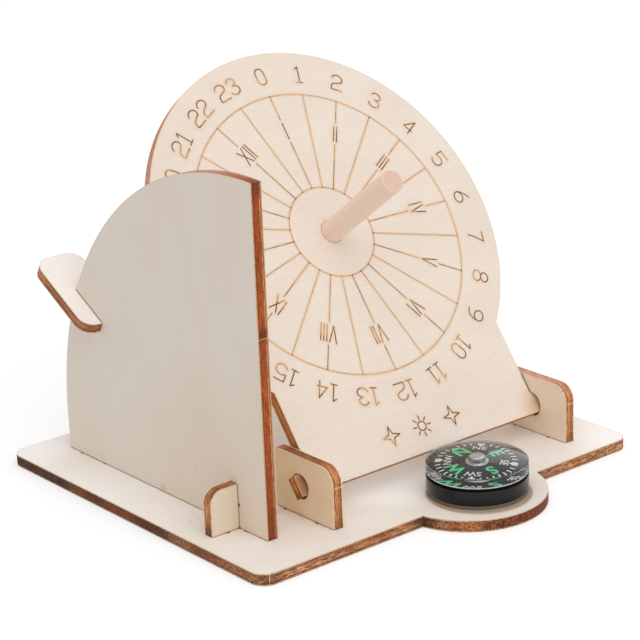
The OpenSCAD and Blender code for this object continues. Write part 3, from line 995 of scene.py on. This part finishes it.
def makeHub():
    s = hubSize
    profile = s["seat"] + roundCorner(*s["flangeRound"], 0, 90, 5) + s["waist"]
    profile += roundCorner(*s["knobRound"], 0, 90, 6) + s["dish"]
    hub = turned("compass_hub", [(x, compassSize["cardTop"] + z) for x, z in profile], 64)
    hub.data.materials.append(metalMaterial("hub_metal", rgb(202, 199, 197), 0.34))
    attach(hub, "compass_needle")
    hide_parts("compass_cap")


# The print on the card, in mm and degrees
cardPrint = {
    "turn": -6.07, "shift": (0.2, 0.5), "lift": 0.03, "thick": 0.02,
    "tickInner": 8.05, "tickOuter": 9.4, "tickWidth": 0.4,
    "blockWidth": 1.6, "blockBevel": 0.06,
    "pointer": 0.75, "pointerLap": 0.05, "pointerHalf": 0.576,
    "letterRadius": 5.8, "letterSize": 4.55, "letterWeight": 0.13, "northRadius": 5.25,
    "cornerRadius": 6.3, "cornerSize": 2.6, "cornerWeight": 0.03,
    "arrowBase": 7.0, "arrowTip": 9.0, "arrowHalf": 1.35,
}


def placeOnCard(bearing, radius):
    turn = Matrix.Rotation(math.radians(cardPrint["turn"] - bearing), 4, "Z")
    up = compassCentre + Vector((*cardPrint["shift"], compassSize["cardTop"] + cardPrint["lift"]))
    return Matrix.Translation(up * mm) @ Matrix.Scale(mm, 4) @ turn @ Matrix.Translation((0, radius, 0))


def printedWord(word, bearing, radius, size, weight, material):
    text = add(bpy.ops.object.text_add).data
    text.body, text.size, text.offset = word, size, weight
    text.align_x, text.align_y = "CENTER", "CENTER"
    text.extrude = cardPrint["thick"] / 2
    bpy.ops.object.convert(target="MESH")
    piece = bpy.context.object
    corners = np.array([v.co[:] for v in piece.data.vertices])
    middle = (corners.min(0) + corners.max(0)) / 2
    piece.data.transform(placeOnCard(bearing, radius) @ Matrix.Translation(Vector(-middle)))
    piece.data.materials.clear()
    piece.data.materials.append(material)
    return piece


def printedBlock(width, bearing, material, bevelled):
    inner, outer = cardPrint["tickInner"], cardPrint["tickOuter"]
    piece = add(bpy.ops.mesh.primitive_cube_add, size=1)
    mode("EDIT")
    bpy.ops.transform.resize(value=(width, outer - inner, cardPrint["thick"]))
    if bevelled:
        bpy.ops.mesh.bevel(offset=cardPrint["blockBevel"], affect="EDGES")
    mode("OBJECT")
    piece.data.transform(placeOnCard(bearing, (inner + outer) / 2))
    piece.data.materials.append(material)
    return piece


# A printed triangle with its base at one radius and its tip at another
def printedPointer(bearing, baseRadius, tipRadius, half, material):
    piece = add(bpy.ops.mesh.primitive_cylinder_add, vertices=3, radius=1, depth=cardPrint["thick"])
    mode("EDIT")
    wide, tall = half / math.sin(math.radians(60)), abs(tipRadius - baseRadius) / 1.5
    bpy.ops.transform.resize(value=(wide, tall, 1))
    mode("OBJECT")
    rows = np.array([v.co[1] for v in piece.data.vertices])
    middle = (rows.max() + rows.min()) / 2
    tipUp = np.median(rows) < middle
    turn = Matrix.Rotation(0 if tipUp == (tipRadius > baseRadius) else math.pi, 4, "Z")
    place = placeOnCard(bearing, (baseRadius + tipRadius) / 2)
    piece.data.transform(place @ turn @ Matrix.Translation((0, -middle, 0)))
    piece.data.materials.append(material)
    return piece


# Printed ink, worn in small spots
inkLook = {"wear": {"scale": 2600.0}, "wearFade": (0.5, 0.75, 0, 0.45), "roughness": 0.5}


def inkMaterial(name, colour, worn):
    material, tree, shader = startMaterial(name)
    wear = fade(tree, noise(tree, objectPoint(tree), **inkLook["wear"]), *inkLook["wearFade"])
    feed(shader, {"Base Color": tint(tree, wear, colour, worn), "Roughness": inkLook["roughness"]})
    return material


def makePrint():
    s = cardPrint
    green = inkMaterial("green_ink", rgb(60, 224, 144), rgb(44, 190, 120))
    white = inkMaterial("white_ink", rgb(236, 236, 240), rgb(200, 200, 206))
    quarters = (45, 135, 225, 315)
    letters = []
    for bearing, word in ((0, "N"), (90, "E"), (180, "S"), (270, "W")):
        radius = s["northRadius"] if word == "N" else s["letterRadius"]
        letters.append(printedWord(word, bearing, radius, s["letterSize"], s["letterWeight"], green))
    letters.append(printedPointer(0, s["arrowBase"], s["arrowTip"], s["arrowHalf"], green))
    corners = [printedWord(word, bearing, s["cornerRadius"], s["cornerSize"], s["cornerWeight"], white)
               for bearing, word in zip(quarters, ("NE", "SE", "SW", "NW"))]
    scale = [printedBlock(s["tickWidth"], bearing, white, False)
             for bearing in range(10, 360, 10) if bearing % 90 not in (40, 50)]
    scale += [printedBlock(s["blockWidth"], bearing, white, True) for bearing in quarters]
    scale += [printedPointer(bearing, s["tickInner"] + s["pointerLap"], s["tickInner"] - s["pointer"],
                             s["pointerHalf"], white) for bearing in quarters]
    prints = {"card_letters": letters, "card_corner_letters": corners, "card_scale": scale}
    for name, pieces in prints.items():
        piece = joinAs(name, pieces)
        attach(piece, "compass_needle")


makeCase()
makeLid()
makeHub()
makePrint()
dress("compass_card", plasticMaterial("card_black", rgb(22, 22, 25), 0.5, 0.05))
dress("compass_magnet", metalMaterial("magnet_metal", rgb(120, 120, 124), 0.4))
dress("compass_pivot", metalMaterial("pivot_steel", rgb(190, 190, 194), 0.25))
dress("compass_pad", clearMaterial("clear_pad", rgb(170, 154, 138), 0.25, 1.42, 0.6))
print("compass made")


# Floor, light and camera, in metres
studio = {
    "sky": 0.68,
    "floor": 0.82,
    "floorSeen": 0.62,
    "floorGlow": 0.46,
    "floorRadius": 12,
    "floorRoughness": 0.9,
    "lampsAim": (0, 0, 0.03),
    "lamps": [{"at": (-0.25, -0.45, 1.5), "size": 1.4, "power": 5.0},
              {"at": (-0.05, -1.2, 0.8), "size": 1.3, "power": 5.2},
              {"at": (0.9, 0.75, 0.42), "size": 0.9, "power": 1.5}],
}


def grey(level):
    return (level, level, level, 1)


# The floor and the sky look white, but light the object only at the studio's plain level
def seenStraight(tree):
    path = put(tree, "ShaderNodeLightPath").outputs
    seen = calc(tree, "MAXIMUM", path["Is Camera Ray"], path["Is Glossy Ray"])
    return calc(tree, "MAXIMUM", seen, path["Is Transmission Ray"])


def makeStage():
    radius = studio["floorRadius"]
    floor = add(bpy.ops.mesh.primitive_circle_add, vertices=64, radius=radius, fill_type="NGON")
    floor.name = "floor"
    material, tree, shader = startMaterial("floor_white")
    seen = seenStraight(tree)
    feed(shader, {"Base Color": tint(tree, seen, grey(studio["floor"]), grey(studio["floorSeen"])),
                  "Roughness": studio["floorRoughness"], "Specular IOR Level": 0.0,
                  "Emission Color": grey(1),
                  "Emission Strength": times(tree, seen, studio["floorGlow"])})
    floor.data.materials.append(material)
    world = scene.world or bpy.data.worlds.new("studio")
    scene.world = world
    world.use_nodes = True
    tree = world.node_tree
    tree.nodes.clear()
    strength = calc(tree, "MULTIPLY_ADD", seenStraight(tree), 1 - studio["sky"], studio["sky"])
    sky = put(tree, "ShaderNodeBackground", {"Color": grey(1), "Strength": strength})
    tree.links.new(sky.outputs[0], put(tree, "ShaderNodeOutputWorld").inputs[0])


def makeLamps():
    for number, lamp in enumerate(studio["lamps"]):
        light = bpy.data.lights.new("lamp%d" % number, "AREA")
        light.shape, light.size, light.energy = "SQUARE", lamp["size"], lamp["power"]
        holder = bpy.data.objects.new("lamp%d" % number, light)
        scene.collection.objects.link(holder)
        holder.location = lamp["at"]
        aim = Vector(studio["lampsAim"]) - Vector(lamp["at"])
        holder.rotation_euler = aim.to_track_quat("-Z", "Y").to_euler()


# The camera's place and aim in mm, its roll in radians, and its lens in pixels of a square frame
shot = {
    "at": (-333.15, -407.49, 216.92),
    "towards": (-8.39, -0.63, 40.60),
    "roll": -0.04172,
    "focal": 2226.36,
    "centre": (307.68, 320.32),
    "frame": 640,
    "sensor": 36,
    "clip": (0.01, 50),
}


# It looks straight through the frame's middle, so what was off centre in the lens turns the view
def makeCamera():
    eye, aim = Vector(shot["at"]), Vector(shot["towards"])
    ahead = (aim - eye).normalized()
    right = ahead.cross(Vector((0, 0, 1))).normalized()
    up = right.cross(ahead)
    c, s = math.cos(shot["roll"]), math.sin(shot["roll"])
    right, up = right * c + up * s, up * c - right * s
    half, focal = shot["frame"] / 2, shot["focal"]
    offRight, offUp = (half - shot["centre"][0]) / focal, (half - shot["centre"][1]) / focal
    view = (ahead + right * offRight - up * offUp).normalized()
    side = (right - view * right.dot(view)).normalized()
    head = side.cross(view)
    camera = bpy.data.cameras.new("camera")
    camera.sensor_width, camera.lens = shot["sensor"], focal * shot["sensor"] / shot["frame"]
    camera.clip_start, camera.clip_end = shot["clip"]
    holder = bpy.data.objects.new("camera", camera)
    scene.collection.objects.link(holder)
    holder.matrix_world = Matrix.Translation(eye * mm) @ Matrix((side, head, -view)).transposed().to_4x4()
    scene.camera = holder


makeStage()
makeLamps()
makeCamera()
scene.view_settings.view_transform = "Standard"
print("stage, lamps and camera set")
